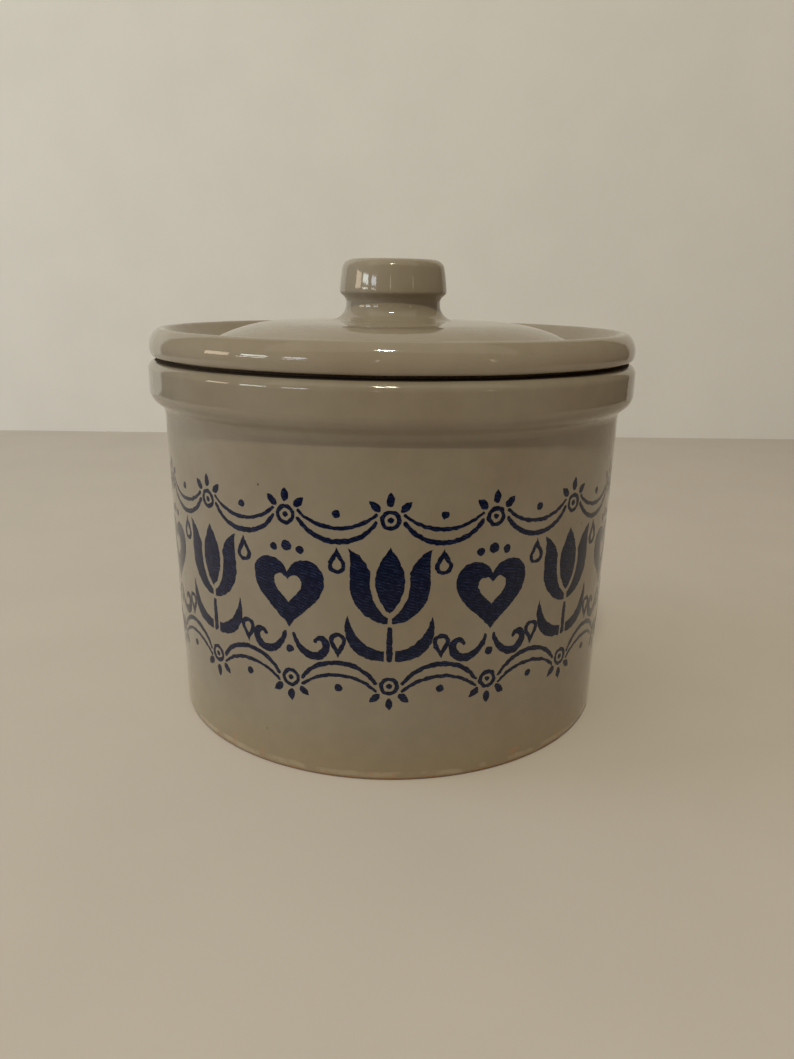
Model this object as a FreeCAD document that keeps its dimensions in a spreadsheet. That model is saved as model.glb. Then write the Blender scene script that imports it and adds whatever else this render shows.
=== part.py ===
import FreeCAD, Part
import math
import os
import Sketcher
from FreeCAD import Vector

# Covered stoneware snack jar, in millimetres.
# The crock is a straight-sided pot whose rim is thickened into a band. The domed lid rests on
# the rim, and a ring under it drops into the mouth and keeps it central. Both pieces are
# turned about the Z axis, and Z = 0 is the table that the crock's foot ring stands on.

# Every size that can be set: its alias in the sheet, its value, and what it measures
SIZES = [
    ("jar_height", 102.5, "table to the top of the crock's rim"),
    ("foot_radius", 64.6, "outside of the wall at the table"),
    ("wall_flare", 1.9, "how much wider the wall is under the band than at the table"),
    ("wall", 6.2, "thickness of the crock's wall"),
    ("floor", 7.0, "table to the inside of the floor"),
    ("foot_recess", 1.2, "how far the underside stands off the table inside the foot ring"),
    ("foot_ring_width", 9.6, "width of the foot ring"),
    ("foot_round", 1.0, "rounding of the foot's outer edge"),
    ("foot_ring_round", 0.6, "rounding of the foot ring's inner edge"),
    ("floor_round", 8.0, "rounding between the inside of the wall and the floor"),
    ("band_projection", 3.8, "how far the rim's band stands out from the wall"),
    ("band_height", 9.9, "upright side of the band, from the rim down"),
    ("band_slope", 3.1, "height of the slope under the band"),
    ("band_round", 4.4, "rounding at the top of that slope"),
    ("cove_round", 3.2, "hollow at the foot of that slope"),
    ("rim_round", 2.5, "rounding of the rim's outer edge"),
    ("mouth_round", 1.8, "rounding of the rim's inner edge"),
    ("lid_setback", 0.5, "how far the lid's edge stays inside the band's face"),
    ("lid_clearance", 1.5, "play between the locating ring and the mouth, on each side"),
    ("ring_width", 5.4, "thickness of the locating ring"),
    ("ring_depth", 5.5, "how far the locating ring reaches below the rim"),
    ("ring_round", 1.4, "rounding of the locating ring's lower edges"),
    ("ring_root_round", 3.0, "rounding between the locating ring and the lid's underside"),
    ("hollow_height", 5.0, "rim to the top of the lid's hollow underside"),
    ("gap_height", 1.0, "open gap between the lid's edge and the rim"),
    ("gap_depth", 5.0, "how far that gap runs in from the lid's edge"),
    ("edge_round", 6.0, "roundness of the lid's outer edge"),
    ("edge_height", 3.5, "rim to the widest place of the lid's edge"),
    ("edge_under_round", 1.2, "rounding of the lid's lower edge"),
    ("crest_height", 8.5, "rim to the crest of the lid's raised edge"),
    ("crest_round", 2.2, "roundness of that crest"),
    ("crest_slope", 45.0, "slope from the crest down to the channel, in degrees"),
    ("channel_height", 3.0, "rim to the bottom of the channel round the dome"),
    ("channel_round", 5.0, "roundness of the channel"),
    ("dome_height", 11.0, "rim to the top of the dome"),
    ("dome_round", 800.0, "roundness of the dome's crown"),
    ("shoulder_width", 37.0, "lid's edge to where the dome's shoulder starts"),
    ("knob_radius", 15.7, "knob at its widest, near its lower edge"),
    ("knob_taper", 1.2, "how much narrower the knob is at its top"),
    ("knob_height", 16.65, "dome to the top edge of the knob"),
    ("knob_crown", 0.45, "rise of the knob's top above its edge"),
    ("knob_top_round", 3.0, "rounding of the knob's top edge"),
    ("knob_lip_round", 0.7, "rounding of the knob's lower edge"),
    ("knob_undercut", 1.9, "how far the neck is cut in under the knob"),
    ("undercut_rise", 1.6, "height of the slope under the knob"),
    ("undercut_round", 2.2, "rounding between that slope and the neck"),
    ("neck_height", 5.7, "dome to the top of the neck"),
    ("neck_land", 1.2, "part of the neck's height that the flare to the dome leaves"),
    ("knob_root", 3.0, "how deep the neck is rooted in the dome"),
]

ORIGIN = (-1, 1)
HORIZONTAL_AXIS = -1
VERTICAL_AXIS = -2
START, END, CENTRE = range(1, 4)
EDGE_TOLERANCE = 0.001


class Size:
    """A length with its number and the expression that ties it to the sheet."""

    def __init__(self, number, text):
        self.number = number
        self.text = text

    def __add__(self, other):
        return Size(self.number + other.number, f"{self.text} + {other.text}")

    def __sub__(self, other):
        return Size(self.number - other.number, f"{self.text} - ({other.text})")

    def __neg__(self):
        return Size(-self.number, f"-({self.text})")


class Sizes:
    """The sheet's cells by name, each as a Size."""

    def __init__(self, sheet):
        for alias, _, _ in SIZES:
            setattr(self, alias, Size(float(sheet.get(alias)), f"{sheet.Name}.{alias}"))
        self.none = Size(0.0, "0")


def make_sheet(document):
    sheet = document.addObject("Spreadsheet::Sheet", "Sizes")
    for row, (alias, value, meaning) in enumerate(SIZES, start=1):
        sheet.set(f"A{row}", meaning)
        sheet.set(f"B{row}", str(value))
        sheet.setAlias(f"B{row}", alias)
    document.recompute()
    return sheet


def make_body(document, label):
    body = document.addObject("PartDesign::Body", label)
    body.Label = label
    return body


def make_sketch(body, name):
    """A sketch in the body's upright plane: X is the radius and Y is the height."""
    sketch = body.newObject("Sketcher::SketchObject", name)
    plane = next(item for item in body.Origin.OriginFeatures if item.Role == "XZ_Plane")
    sketch.AttachmentSupport = (plane, [""])
    sketch.MapMode = "FlatFace"
    return sketch


def tie(sketch, kind, items, size, name):
    """Adds a constraint with a value that follows the sheet."""
    index = sketch.addConstraint(Sketcher.Constraint(kind, *items, abs(size.number)))
    sketch.renameConstraint(index, name)
    sign = "" if size.number >= 0 else "-1 * "
    sketch.setExpression(f"Constraints.{name}", f"{sign}({size.text})")


def place(sketch, point, radius, height, name):
    """Ties a point to its radius from the axis and its height, where they are given."""
    for kind, size, axis, word in (
        ("DistanceX", radius, VERTICAL_AXIS, "radius"),
        ("DistanceY", height, HORIZONTAL_AXIS, "height"),
    ):
        if size is None:
            continue
        if size.number == 0:
            sketch.addConstraint(Sketcher.Constraint("PointOnObject", *point, axis))
        elif size.number < 0:
            tie(sketch, kind, (*point, *ORIGIN), size, f"{name}_{word}")
        else:
            tie(sketch, kind, (*ORIGIN, *point), size, f"{name}_{word}")


def add_line(sketch, first, last):
    """Adds a line, and returns its number and its first and last point."""
    return sketch.addGeometry(Part.LineSegment(first, last)), START, END


def add_arc(sketch, centre, first, last, clockwise):
    """Adds an arc, and returns its number and its first and last point."""
    ends = (last, first) if clockwise else (first, last)
    angles = [math.atan2(end.y - centre.y, end.x - centre.x) for end in ends]
    circle = Part.Circle(centre, Vector(0, 0, 1), (first - centre).Length)
    number = sketch.addGeometry(Part.ArcOfCircle(circle, *angles))
    return (number, END, START) if clockwise else (number, START, END)


def close_outline(sketch, runs, smooth):
    """Joins each run to the next, as a tangent after the runs whose numbers are in smooth."""
    for run, following in zip(runs, runs[1:] + runs[:1]):
        number, _, last = run
        kind = "Tangent" if number in smooth else "Coincident"
        sketch.addConstraint(Sketcher.Constraint(kind, number, last, following[0], following[1]))


def point_of(radius, height):
    return Vector(radius.number, height.number, 0)


def trace_corners(sketch, corners):
    """Draws straight lines from corner to corner and back, with every corner tied."""
    points = [point_of(radius, height) for _, radius, height in corners]
    runs = [add_line(sketch, *ends) for ends in zip(points, points[1:] + points[:1])]
    close_outline(sketch, runs, smooth=[])
    for (number, first, _), (name, radius, height) in zip(runs, corners):
        place(sketch, (number, first), radius, height, name)


def turn(body, sketch, name):
    """Turns a section all the way round the Z axis."""
    revolution = body.newObject("PartDesign::Revolution", name)
    revolution.Profile = sketch
    revolution.ReferenceAxis = (sketch, ["V_Axis"])
    revolution.Angle = 360
    body.Document.recompute()
    return revolution


def round_edges(body, name, size, circles):
    """Rounds the edges that run round the axis at the given radii and heights."""
    base = body.Tip
    names = []
    for radius, height in circles:
        for number, edge in enumerate(base.Shape.Edges, start=1):
            if edge.Degenerated or not isinstance(edge.Curve, Part.Circle):
                continue
            off = math.hypot(edge.Curve.Radius - radius, edge.Curve.Center.z - height)
            if off < EDGE_TOLERANCE:
                names.append(f"Edge{number}")
                break
        else:
            raise RuntimeError(f"{name}: no edge at radius {radius} and height {height}")
    fillet = body.newObject("PartDesign::Fillet", name)
    fillet.Base = (base, names)
    fillet.setExpression("Radius", size.text)
    body.Document.recompute()


def make_crock(document, size):
    """The pot: foot ring, tapered wall, banded rim, and the hollow inside."""
    body = make_body(document, "crock")
    recess_radius = size.foot_radius - size.foot_ring_width
    wall_top_radius = size.foot_radius + size.wall_flare
    band_radius = wall_top_radius + size.band_projection
    slope_top = size.jar_height - size.band_height
    slope_bottom = slope_top - size.band_slope
    mouth_radius = wall_top_radius - size.wall
    inside_radius = size.foot_radius - size.wall

    sketch = make_sketch(body, "crock_section")
    trace_corners(sketch, [
        ("underside", size.none, size.foot_recess),
        ("recess", recess_radius, size.foot_recess),
        ("ring_inner", recess_radius, size.none),
        ("foot", size.foot_radius, size.none),
        ("wall_top", wall_top_radius, slope_bottom),
        ("band_bottom", band_radius, slope_top),
        ("rim", band_radius, size.jar_height),
        ("mouth", mouth_radius, size.jar_height),
        ("inside", inside_radius, size.floor),
        ("floor", size.none, size.floor),
    ])
    turn(body, sketch, "crock_turned")

    for name, radius, place_radius, height in (
        ("foot_edge", size.foot_round, size.foot_radius, size.none),
        ("foot_ring_edge", size.foot_ring_round, recess_radius, size.none),
        ("cove", size.cove_round, wall_top_radius, slope_bottom),
        ("band_edge", size.band_round, band_radius, slope_top),
        ("rim_edge", size.rim_round, band_radius, size.jar_height),
        ("mouth_edge", size.mouth_round, mouth_radius, size.jar_height),
        ("floor_corner", size.floor_round, inside_radius, size.floor),
    ):
        round_edges(body, name, radius, [(place_radius.number, height.number)])
    return body


def draw_lid_top(sketch, size, lid_radius):
    """Draws the lid's upper outline, from the axis over the dome to the lower edge.

    Returns its runs in order, and its lowest point. The circles are worked out here so that
    each arc starts where its constraints will hold it.
    """
    edge_centre = point_of(lid_radius - size.edge_round, size.edge_height)
    crest_rise = size.crest_height.number - size.crest_round.number - edge_centre.y
    crest_reach = size.edge_round.number - size.crest_round.number
    crest_side = math.sqrt(crest_reach**2 - crest_rise**2)
    crest_centre = edge_centre + Vector(crest_side, crest_rise, 0)

    slope = math.radians(size.crest_slope.number)
    off_slope = Vector(-math.sin(slope), math.cos(slope), 0)
    channel_y = size.channel_height.number + size.channel_round.number
    both_rounds = size.crest_round.number + size.channel_round.number
    channel_x = (
        math.cos(slope) * channel_y - off_slope.dot(crest_centre) - both_rounds
    ) / math.sin(slope)
    channel_centre = Vector(channel_x, channel_y, 0)

    dome_centre = point_of(size.none, size.dome_height - size.dome_round)
    shoulder_x = lid_radius.number - size.shoulder_width.number
    shoulder_y = dome_centre.y + math.sqrt(size.dome_round.number**2 - shoulder_x**2)
    shoulder = Vector(shoulder_x, shoulder_y, 0)
    outwards = (shoulder - dome_centre).normalize()
    across = shoulder - channel_centre
    channel_round = size.channel_round.number
    shoulder_round = (across.Length**2 - channel_round**2) / (
        2 * (across.dot(outwards) + channel_round)
    )
    shoulder_centre = shoulder - outwards * shoulder_round

    def between(centre, other, radius):
        """The point where two touching circles meet, radius being the first one's."""
        return centre + (other - centre).normalize() * radius

    dome_top = point_of(size.none, size.dome_height)
    channel_start = between(channel_centre, shoulder_centre, channel_round)
    slope_bottom = channel_centre - off_slope * channel_round
    slope_top = crest_centre + off_slope * size.crest_round.number
    crest_end = between(edge_centre, crest_centre, size.edge_round.number)
    edge_drop = size.edge_height.number - size.gap_height.number
    edge_side = math.sqrt(size.edge_round.number**2 - edge_drop**2)
    lower_edge = edge_centre + Vector(edge_side, -edge_drop, 0)

    dome = add_arc(sketch, dome_centre, dome_top, shoulder, clockwise=True)
    fall = add_arc(sketch, shoulder_centre, shoulder, channel_start, clockwise=True)
    channel = add_arc(sketch, channel_centre, channel_start, slope_bottom, clockwise=False)
    rise = add_line(sketch, slope_bottom, slope_top)
    crest = add_arc(sketch, crest_centre, slope_top, crest_end, clockwise=True)
    edge = add_arc(sketch, edge_centre, crest_end, lower_edge, clockwise=True)
    return [dome, fall, channel, rise, crest, edge], lower_edge


def hold_lid_top(sketch, size, lid_radius, runs):
    """Ties the arcs of the lid's upper outline to their sizes."""
    dome, _, channel, rise, crest, edge = runs
    place(sketch, (dome[0], CENTRE), size.none, None, "dome_centre")
    place(sketch, (dome[0], dome[1]), size.none, size.dome_height, "dome_top")
    tie(sketch, "Radius", (dome[0],), size.dome_round, "dome_round")
    place(sketch, (dome[0], dome[2]), lid_radius - size.shoulder_width, None, "shoulder")
    tie(sketch, "Radius", (channel[0],), size.channel_round, "channel_round")
    channel_height = size.channel_height + size.channel_round
    place(sketch, (channel[0], CENTRE), None, channel_height, "channel_centre")
    angle = sketch.addConstraint(
        Sketcher.Constraint("Angle", rise[0], math.radians(size.crest_slope.number))
    )
    sketch.renameConstraint(angle, "crest_slope")
    sketch.setExpression("Constraints.crest_slope", f"{size.crest_slope.text} * 1 deg")
    tie(sketch, "Radius", (crest[0],), size.crest_round, "crest_round")
    crest_height = size.crest_height - size.crest_round
    place(sketch, (crest[0], CENTRE), None, crest_height, "crest_centre")
    tie(sketch, "Radius", (edge[0],), size.edge_round, "edge_round")
    edge_radius = lid_radius - size.edge_round
    place(sketch, (edge[0], CENTRE), edge_radius, size.edge_height, "edge_centre")
    place(sketch, (edge[0], edge[2]), None, size.gap_height, "lower_edge")


def make_lid_plate(body, size, lid_radius, ring_outer, ring_inner):
    """The lid without its knob. Returns the radius of its lower edge."""
    land_radius = lid_radius - size.gap_depth
    sketch = make_sketch(body, "lid_section")
    top, lower_edge = draw_lid_top(sketch, size, lid_radius)

    gap_corner = point_of(land_radius, size.gap_height)
    land_corner = point_of(land_radius, size.none)
    ring_top = point_of(ring_outer, size.none)
    ring_foot = point_of(ring_outer, -size.ring_depth)
    ring_foot_inner = point_of(ring_inner, -size.ring_depth)
    hollow_edge = point_of(ring_inner, size.none)
    hollow_top = point_of(size.none, size.hollow_height)
    dome_top = point_of(size.none, size.dome_height)
    hollow_rise = size.hollow_height.number
    hollow_round = (hollow_edge.x**2 + hollow_rise**2) / (2 * hollow_rise)
    hollow_centre = hollow_top - Vector(0, hollow_round, 0)

    corners = [lower_edge, gap_corner, land_corner, ring_top, ring_foot, ring_foot_inner]
    under = [add_line(sketch, *ends) for ends in zip(corners, corners[1:] + [hollow_edge])]
    hollow = add_arc(sketch, hollow_centre, hollow_edge, hollow_top, clockwise=False)
    axis = add_line(sketch, hollow_top, dome_top)

    runs = top + under + [hollow, axis]
    close_outline(sketch, runs, smooth=[run[0] for run in top[:-1]])
    hold_lid_top(sketch, size, lid_radius, top)
    _, gap, land, seat, ring, ring_end = under
    place(sketch, (gap[0], gap[1]), land_radius, size.gap_height, "gap_corner")
    place(sketch, (land[0], land[1]), land_radius, size.none, "land_corner")
    place(sketch, (seat[0], seat[1]), ring_outer, size.none, "ring_top")
    place(sketch, (ring[0], ring[1]), ring_outer, -size.ring_depth, "ring_foot")
    place(sketch, (ring_end[0], ring_end[1]), ring_inner, -size.ring_depth, "ring_foot_inner")
    place(sketch, (hollow[0], hollow[1]), ring_inner, size.none, "hollow_edge")
    place(sketch, (hollow[0], CENTRE), size.none, None, "hollow_centre")
    place(sketch, (hollow[0], hollow[2]), size.none, size.hollow_height, "hollow_top")
    turn(body, sketch, "lid_turned")
    return lower_edge.x


def make_knob(body, size):
    """The knob that the lid is lifted by, with its neck. Returns the neck's radius."""
    neck_radius = size.knob_radius - size.knob_undercut
    top_radius = size.knob_radius - size.knob_taper
    neck_foot = size.dome_height - size.knob_root
    neck_top = size.dome_height + size.neck_height
    lip_height = neck_top + size.undercut_rise
    edge_height = size.dome_height + size.knob_height
    crown_height = edge_height + size.knob_crown

    sketch = make_sketch(body, "knob_section")
    corners = [
        ("neck_root", size.none, neck_foot),
        ("neck_foot", neck_radius, neck_foot),
        ("neck_top", neck_radius, neck_top),
        ("lip", size.knob_radius, lip_height),
        ("top_edge", top_radius, edge_height),
    ]
    points = [point_of(radius, height) for _, radius, height in corners]
    sides = [add_line(sketch, *ends) for ends in zip(points, points[1:])]
    crown_top = point_of(size.none, crown_height)
    rise = size.knob_crown.number
    crown_round = (top_radius.number**2 + rise**2) / (2 * rise)
    crown_centre = crown_top - Vector(0, crown_round, 0)
    crown = add_arc(sketch, crown_centre, points[-1], crown_top, clockwise=False)
    axis = add_line(sketch, crown_top, points[0])
    close_outline(sketch, sides + [crown, axis], smooth=[])
    for (number, first, _), (name, radius, height) in zip(sides + [crown], corners):
        place(sketch, (number, first), radius, height, name)
    place(sketch, (crown[0], CENTRE), size.none, None, "crown_centre")
    place(sketch, (crown[0], crown[2]), size.none, crown_height, "crown_top")
    turn(body, sketch, "knob_turned")

    for name, radius, place_radius, height in (
        ("undercut", size.undercut_round, neck_radius, neck_top),
        ("knob_lip", size.knob_lip_round, size.knob_radius, lip_height),
        ("knob_edge", size.knob_top_round, top_radius, edge_height),
    ):
        round_edges(body, name, radius, [(place_radius.number, height.number)])
    return neck_radius


def make_lid(document, size):
    """The lid, modelled from the rim that it rests on: its own height 0 is the rim's top."""
    body = make_body(document, "lid")
    body.setExpression("Placement.Base.z", size.jar_height.text)
    mouth_radius = size.foot_radius + size.wall_flare - size.wall
    lid_radius = size.foot_radius + size.wall_flare + size.band_projection - size.lid_setback
    ring_outer = mouth_radius - size.lid_clearance
    ring_inner = ring_outer - size.ring_width

    lower_edge_radius = make_lid_plate(body, size, lid_radius, ring_outer, ring_inner)
    neck_radius = make_knob(body, size)

    dome_round = size.dome_round.number
    dome_centre = size.dome_height.number - dome_round
    neck_meets_dome = dome_centre + math.sqrt(dome_round**2 - neck_radius.number**2)
    round_edges(
        body, "neck_flare", size.neck_height - size.neck_land,
        [(neck_radius.number, neck_meets_dome)],
    )
    round_edges(
        body, "lower_edge", size.edge_under_round,
        [(lower_edge_radius, size.gap_height.number)],
    )
    ring_bottom = -size.ring_depth.number
    round_edges(
        body, "ring_edges", size.ring_round,
        [(ring_outer.number, ring_bottom), (ring_inner.number, ring_bottom)],
    )
    round_edges(body, "ring_root", size.ring_root_round, [(ring_inner.number, 0.0)])
    return body


def check(document, bodies):
    """Stops the script if anything in the document failed or a piece isn't one sound solid."""
    for item in document.Objects:
        if "Invalid" in item.State or "Error" in item.State:
            raise RuntimeError(f"{item.Label} is {', '.join(item.State)}")
    for body in bodies:
        shape = body.Shape
        if shape.isNull() or not shape.isValid() or len(shape.Solids) != 1:
            raise RuntimeError(f"{body.Label} isn't one valid solid")


def main():
    document = FreeCAD.newDocument("snack_jar")
    size = Sizes(make_sheet(document))
    bodies = [make_crock(document, size), make_lid(document, size)]
    document.recompute()
    check(document, bodies)
    os.makedirs("parts", exist_ok=True)
    for body in bodies:
        body.Shape.exportStep(f"parts/{body.Label}.step")
        box = body.Shape.optimalBoundingBox()
        print(
            f"{body.Label}: {box.XLength:.1f} mm wide, Z {box.ZMin:.1f} to {box.ZMax:.1f} mm, "
            f"volume {body.Shape.Volume:.0f} mm3"
        )


main()
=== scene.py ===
import math

import bmesh
import bpy
from bpy.props import FloatProperty, FloatVectorProperty, IntProperty, PointerProperty
from mathutils import Matrix, Vector
from mathutils.geometry import interpolate_bezier


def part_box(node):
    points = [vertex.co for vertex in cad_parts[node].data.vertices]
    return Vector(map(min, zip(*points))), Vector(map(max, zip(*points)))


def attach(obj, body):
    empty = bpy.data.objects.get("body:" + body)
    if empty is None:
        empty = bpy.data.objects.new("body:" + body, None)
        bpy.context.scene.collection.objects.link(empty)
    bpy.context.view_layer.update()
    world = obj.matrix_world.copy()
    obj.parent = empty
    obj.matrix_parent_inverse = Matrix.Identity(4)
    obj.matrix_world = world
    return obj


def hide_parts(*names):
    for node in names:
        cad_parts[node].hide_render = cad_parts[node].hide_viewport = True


# Covered stoneware snack jar with a cobalt-blue folk border, in metres.
# The crock and the lid are turned from their sections round the Z axis, the border is wrapped
# on the crock's wall, and Z = 0 is the surface that the jar stands on. The front faces -Y.

bl_info = {
    "name": "Snack Jar",
    "version": (1, 0, 0),
    "blender": (4, 5, 0),
    "location": "View3D > Sidebar > Snack Jar",
    "description": "Builds a glazed stoneware snack jar with a printed border",
    "category": "Add Mesh",
}

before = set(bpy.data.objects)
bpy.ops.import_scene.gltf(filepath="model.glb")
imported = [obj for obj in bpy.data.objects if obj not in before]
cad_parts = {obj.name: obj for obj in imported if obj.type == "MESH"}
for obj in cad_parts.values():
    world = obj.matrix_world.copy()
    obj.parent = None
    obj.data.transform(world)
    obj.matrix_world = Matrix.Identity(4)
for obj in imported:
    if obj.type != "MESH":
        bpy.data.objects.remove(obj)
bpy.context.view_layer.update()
_, crock_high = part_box("crock")
lid_low, lid_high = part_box("lid")

MM = 0.001
FULL_TURN = 2 * math.pi


def length(name, description, default):
    return FloatProperty(name=name, description=description, default=default, min=0,
                         unit="LENGTH", precision=5)


def share(name, description, default):
    return FloatProperty(name=name, description=description, default=default, min=0, max=1,
                         subtype="FACTOR")


def colour(name, description, default):
    return FloatVectorProperty(name=name, description=description, default=default, size=3,
                               min=0, max=1, subtype="COLOR")


class CrockSizes(bpy.types.PropertyGroup):
    """The pot's section. Its height and its widest place come from the frame."""

    height: length("Height", "Table to the top of the rim", crock_high.z)
    band_radius: length("Band radius", "Outside of the rim's band", crock_high.x)
    band_projection: length("Band projection", "Band's face to the wall under it", 0.0038)
    band_height: length("Band height", "Upright side of the band", 0.0099)
    band_slope: length("Band slope", "Height of the slope under the band", 0.0031)
    band_round: length("Band rounding", "Rounding at the top of that slope", 0.0044)
    cove_round: length("Cove", "Hollow at the foot of that slope", 0.0032)
    rim_round: length("Rim rounding", "Rounding of the rim's outer edge", 0.0025)
    mouth_round: length("Mouth rounding", "Rounding of the rim's inner edge", 0.0018)
    wall: length("Wall", "Thickness of the wall", 0.0062)
    wall_flare: length("Wall flare", "Wall's widening from the foot to the band", 0.0019)
    floor: length("Floor", "Table to the inside of the floor", 0.007)
    floor_round: length("Floor rounding", "Between the inside of the wall and the floor", 0.008)
    foot_recess: length("Foot recess", "Underside's clearance inside the foot ring", 0.0012)
    foot_ring: length("Foot ring", "Width of the foot ring", 0.0096)
    foot_round: length("Foot rounding", "Rounding of the foot's outer edge", 0.001)
    foot_ring_round: length("Foot ring rounding", "Rounding inside the foot ring", 0.0006)


class LidSizes(bpy.types.PropertyGroup):
    """The lid's section. Heights are above the rim that the lid rests on."""

    radius: length("Radius", "Outside of the lid's edge", lid_high.x)
    ring_outer: length("Ring radius", "Outside of the locating ring", 0.0588)
    ring_width: length("Ring width", "Thickness of the locating ring", 0.0054)
    ring_round: length("Ring rounding", "Rounding of the locating ring's lower edges", 0.0014)
    ring_root: length("Ring root", "Between the locating ring and the underside", 0.003)
    hollow_height: length("Hollow height", "Rim to the top of the hollow underside", 0.005)
    gap_height: length("Gap height", "Open gap between the lid's edge and the rim", 0.001)
    gap_depth: length("Gap depth", "How far that gap runs in from the edge", 0.005)
    edge_round: length("Edge rounding", "Roundness of the outer edge", 0.006)
    edge_height: length("Edge height", "Rim to the widest place of the edge", 0.0035)
    edge_under: length("Lower edge", "Rounding of the lower edge", 0.0012)
    crest_height: length("Crest height", "Rim to the crest of the raised edge", 0.0085)
    crest_round: length("Crest rounding", "Roundness of the crest", 0.0022)
    channel_height: length("Channel height", "Rim to the bottom of the channel", 0.003)
    channel_round: length("Channel rounding", "Roundness of the channel", 0.005)
    dome_height: length("Dome height", "Rim to the top of the dome", 0.011)
    dome_round: length("Dome rounding", "Roundness of the dome's crown", 0.8)
    shoulder_width: length("Shoulder", "Edge to where the dome's shoulder starts", 0.037)
    neck_radius: length("Neck", "Neck at its narrowest", 0.0138)
    neck_height: length("Neck height", "Dome to the top of the neck", 0.0057)
    neck_flare: length("Neck flare", "Rounding between the neck and the dome", 0.0045)
    undercut_round: length("Undercut", "Rounding between the neck and the knob", 0.0022)
    undercut_rise: length("Undercut rise", "Height of the slope under the knob", 0.0016)
    knob_radius: length("Knob radius", "Knob at its widest, near its lower edge", 0.0157)
    knob_taper: length("Knob taper", "How much narrower the knob is at its top", 0.0012)
    knob_bulge: length("Knob bulge", "How far the knob's side swells", 0.0002)
    knob_side_round: length("Knob side", "Rounding of that swell", 0.045)
    knob_crown: length("Knob crown", "Rise of the knob's top above its edge", 0.00045)
    knob_lip_round: length("Knob lip", "Rounding of the knob's lower edge", 0.0012)
    knob_top_round: length("Knob top", "Rounding of the knob's top edge", 0.003)


class BorderSizes(bpy.types.PropertyGroup):
    """The printed border round the crock's wall."""

    repeats: IntProperty(name="Repeats", description="Tulips round the jar, and as many hearts",
                         default=8, min=1)
    row_height: length("Row height", "Table to the middle of the tulips and hearts", 0.0485)
    garland_height: length("Garland height", "Row's middle to the garlands' rings", 0.0215)
    proud: length("Proud", "Thickness of the print above the wall", 0.00003)
    rooted: length("Rooted", "Depth of the print's solids in the wall", 0.0003)
    raggedness: length("Raggedness", "How far the print's edges wander", 0.0009)
    raggedness_size: length("Raggedness size", "Length of that wandering", 0.0012)


class Glaze(bpy.types.PropertyGroup):
    """Colours and surface of the glaze, the bare clay and the print."""

    body: colour("Glaze", "Putty-grey glaze", (0.258, 0.216, 0.158))
    body_thin: colour("Thin glaze", "Where the glaze is thinner", (0.239, 0.194, 0.137))
    # the lid's glaze is the crock's glaze made lighter: painted light for the brighter light that
    # falls on the lid
    lid_painted_lightness: FloatProperty(name="Lid lightness", description="Lid's glaze against the crock's",
                             default=1.13, min=0)
    foot: colour("Foot", "Warmer glaze near the foot", (0.262, 0.202, 0.122))
    ridge: colour("Ridge", "Thick glaze that gathered over the foot line", (0.335, 0.266, 0.172))
    speck: colour("Speck", "Iron specks and pinholes", (0.030, 0.020, 0.012))
    clay: colour("Clay", "Bare fired clay", (0.330, 0.190, 0.095))
    # the seat's colour is bare clay darkened as painted shade, so that the gap between lid and rim
    # reads dark
    seat_clay_and_shade: colour("Seat", "Stained clay where the lid rests on the rim", (0.170, 0.115, 0.070))
    cobalt: colour("Cobalt", "Dark cobalt blue", (0.0022, 0.0042, 0.0190))
    cobalt_pale: colour("Pale cobalt", "Where the blue is thin", (0.0180, 0.0270, 0.0700))
    roughness: share("Roughness", "Roughness of the glaze", 0.05)
    clay_roughness: share("Clay roughness", "Roughness of the bare clay", 0.85)
    wave_height: length("Wave height", "Unevenness of the thrown surface", 0.00016)
    wave_size: length("Wave size", "Length of that unevenness", 0.016)
    glaze_line: length("Glaze line", "Height of the bare clay at the foot", 0.0009)


class Stage(bpy.types.PropertyGroup):
    """The floor, the backdrop, the camera and the light."""

    floor: colour("Floor", "Pale floor", (0.58, 0.52, 0.455))
    wall: colour("Backdrop", "Pale backdrop", (0.74, 0.71, 0.66))
    room: colour("Room", "Light from the room", (1.0, 0.88, 0.83))
    room_strength: FloatProperty(name="Room strength", description="Strength of that light",
                                 default=0.33, min=0)
    horizon: colour("Horizon", "Pale wall beyond the floor and the backdrop", (0.47, 0.43, 0.37))
    wall_distance: length("Backdrop distance", "Jar's axis to the backdrop", 0.47)
    camera_distance: length("Camera distance", "Jar's axis to the camera", 0.254)
    camera_height: length("Camera height", "Floor to the camera", 0.1218)
    camera_pitch: FloatProperty(name="Pitch", description="Camera's tilt below level",
                                default=math.radians(16.01), subtype="ANGLE")
    camera_turn: FloatProperty(name="Turn", description="Camera's turn to the right",
                               default=math.radians(0.45), subtype="ANGLE")
    camera_roll: FloatProperty(name="Roll", description="Camera's roll",
                               default=math.radians(0.74), subtype="ANGLE")
    lens: FloatProperty(name="Lens", description="Focal length in millimetres", default=28.42,
                        unit="CAMERA")


class JarSettings(bpy.types.PropertyGroup):
    """Everything that can be set."""

    crock: PointerProperty(type=CrockSizes)
    lid: PointerProperty(type=LidSizes)
    border: PointerProperty(type=BorderSizes)
    glaze: PointerProperty(type=Glaze)
    stage: PointerProperty(type=Stage)


# Node trees

# points closer than this become one
WELD = 1e-6


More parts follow.
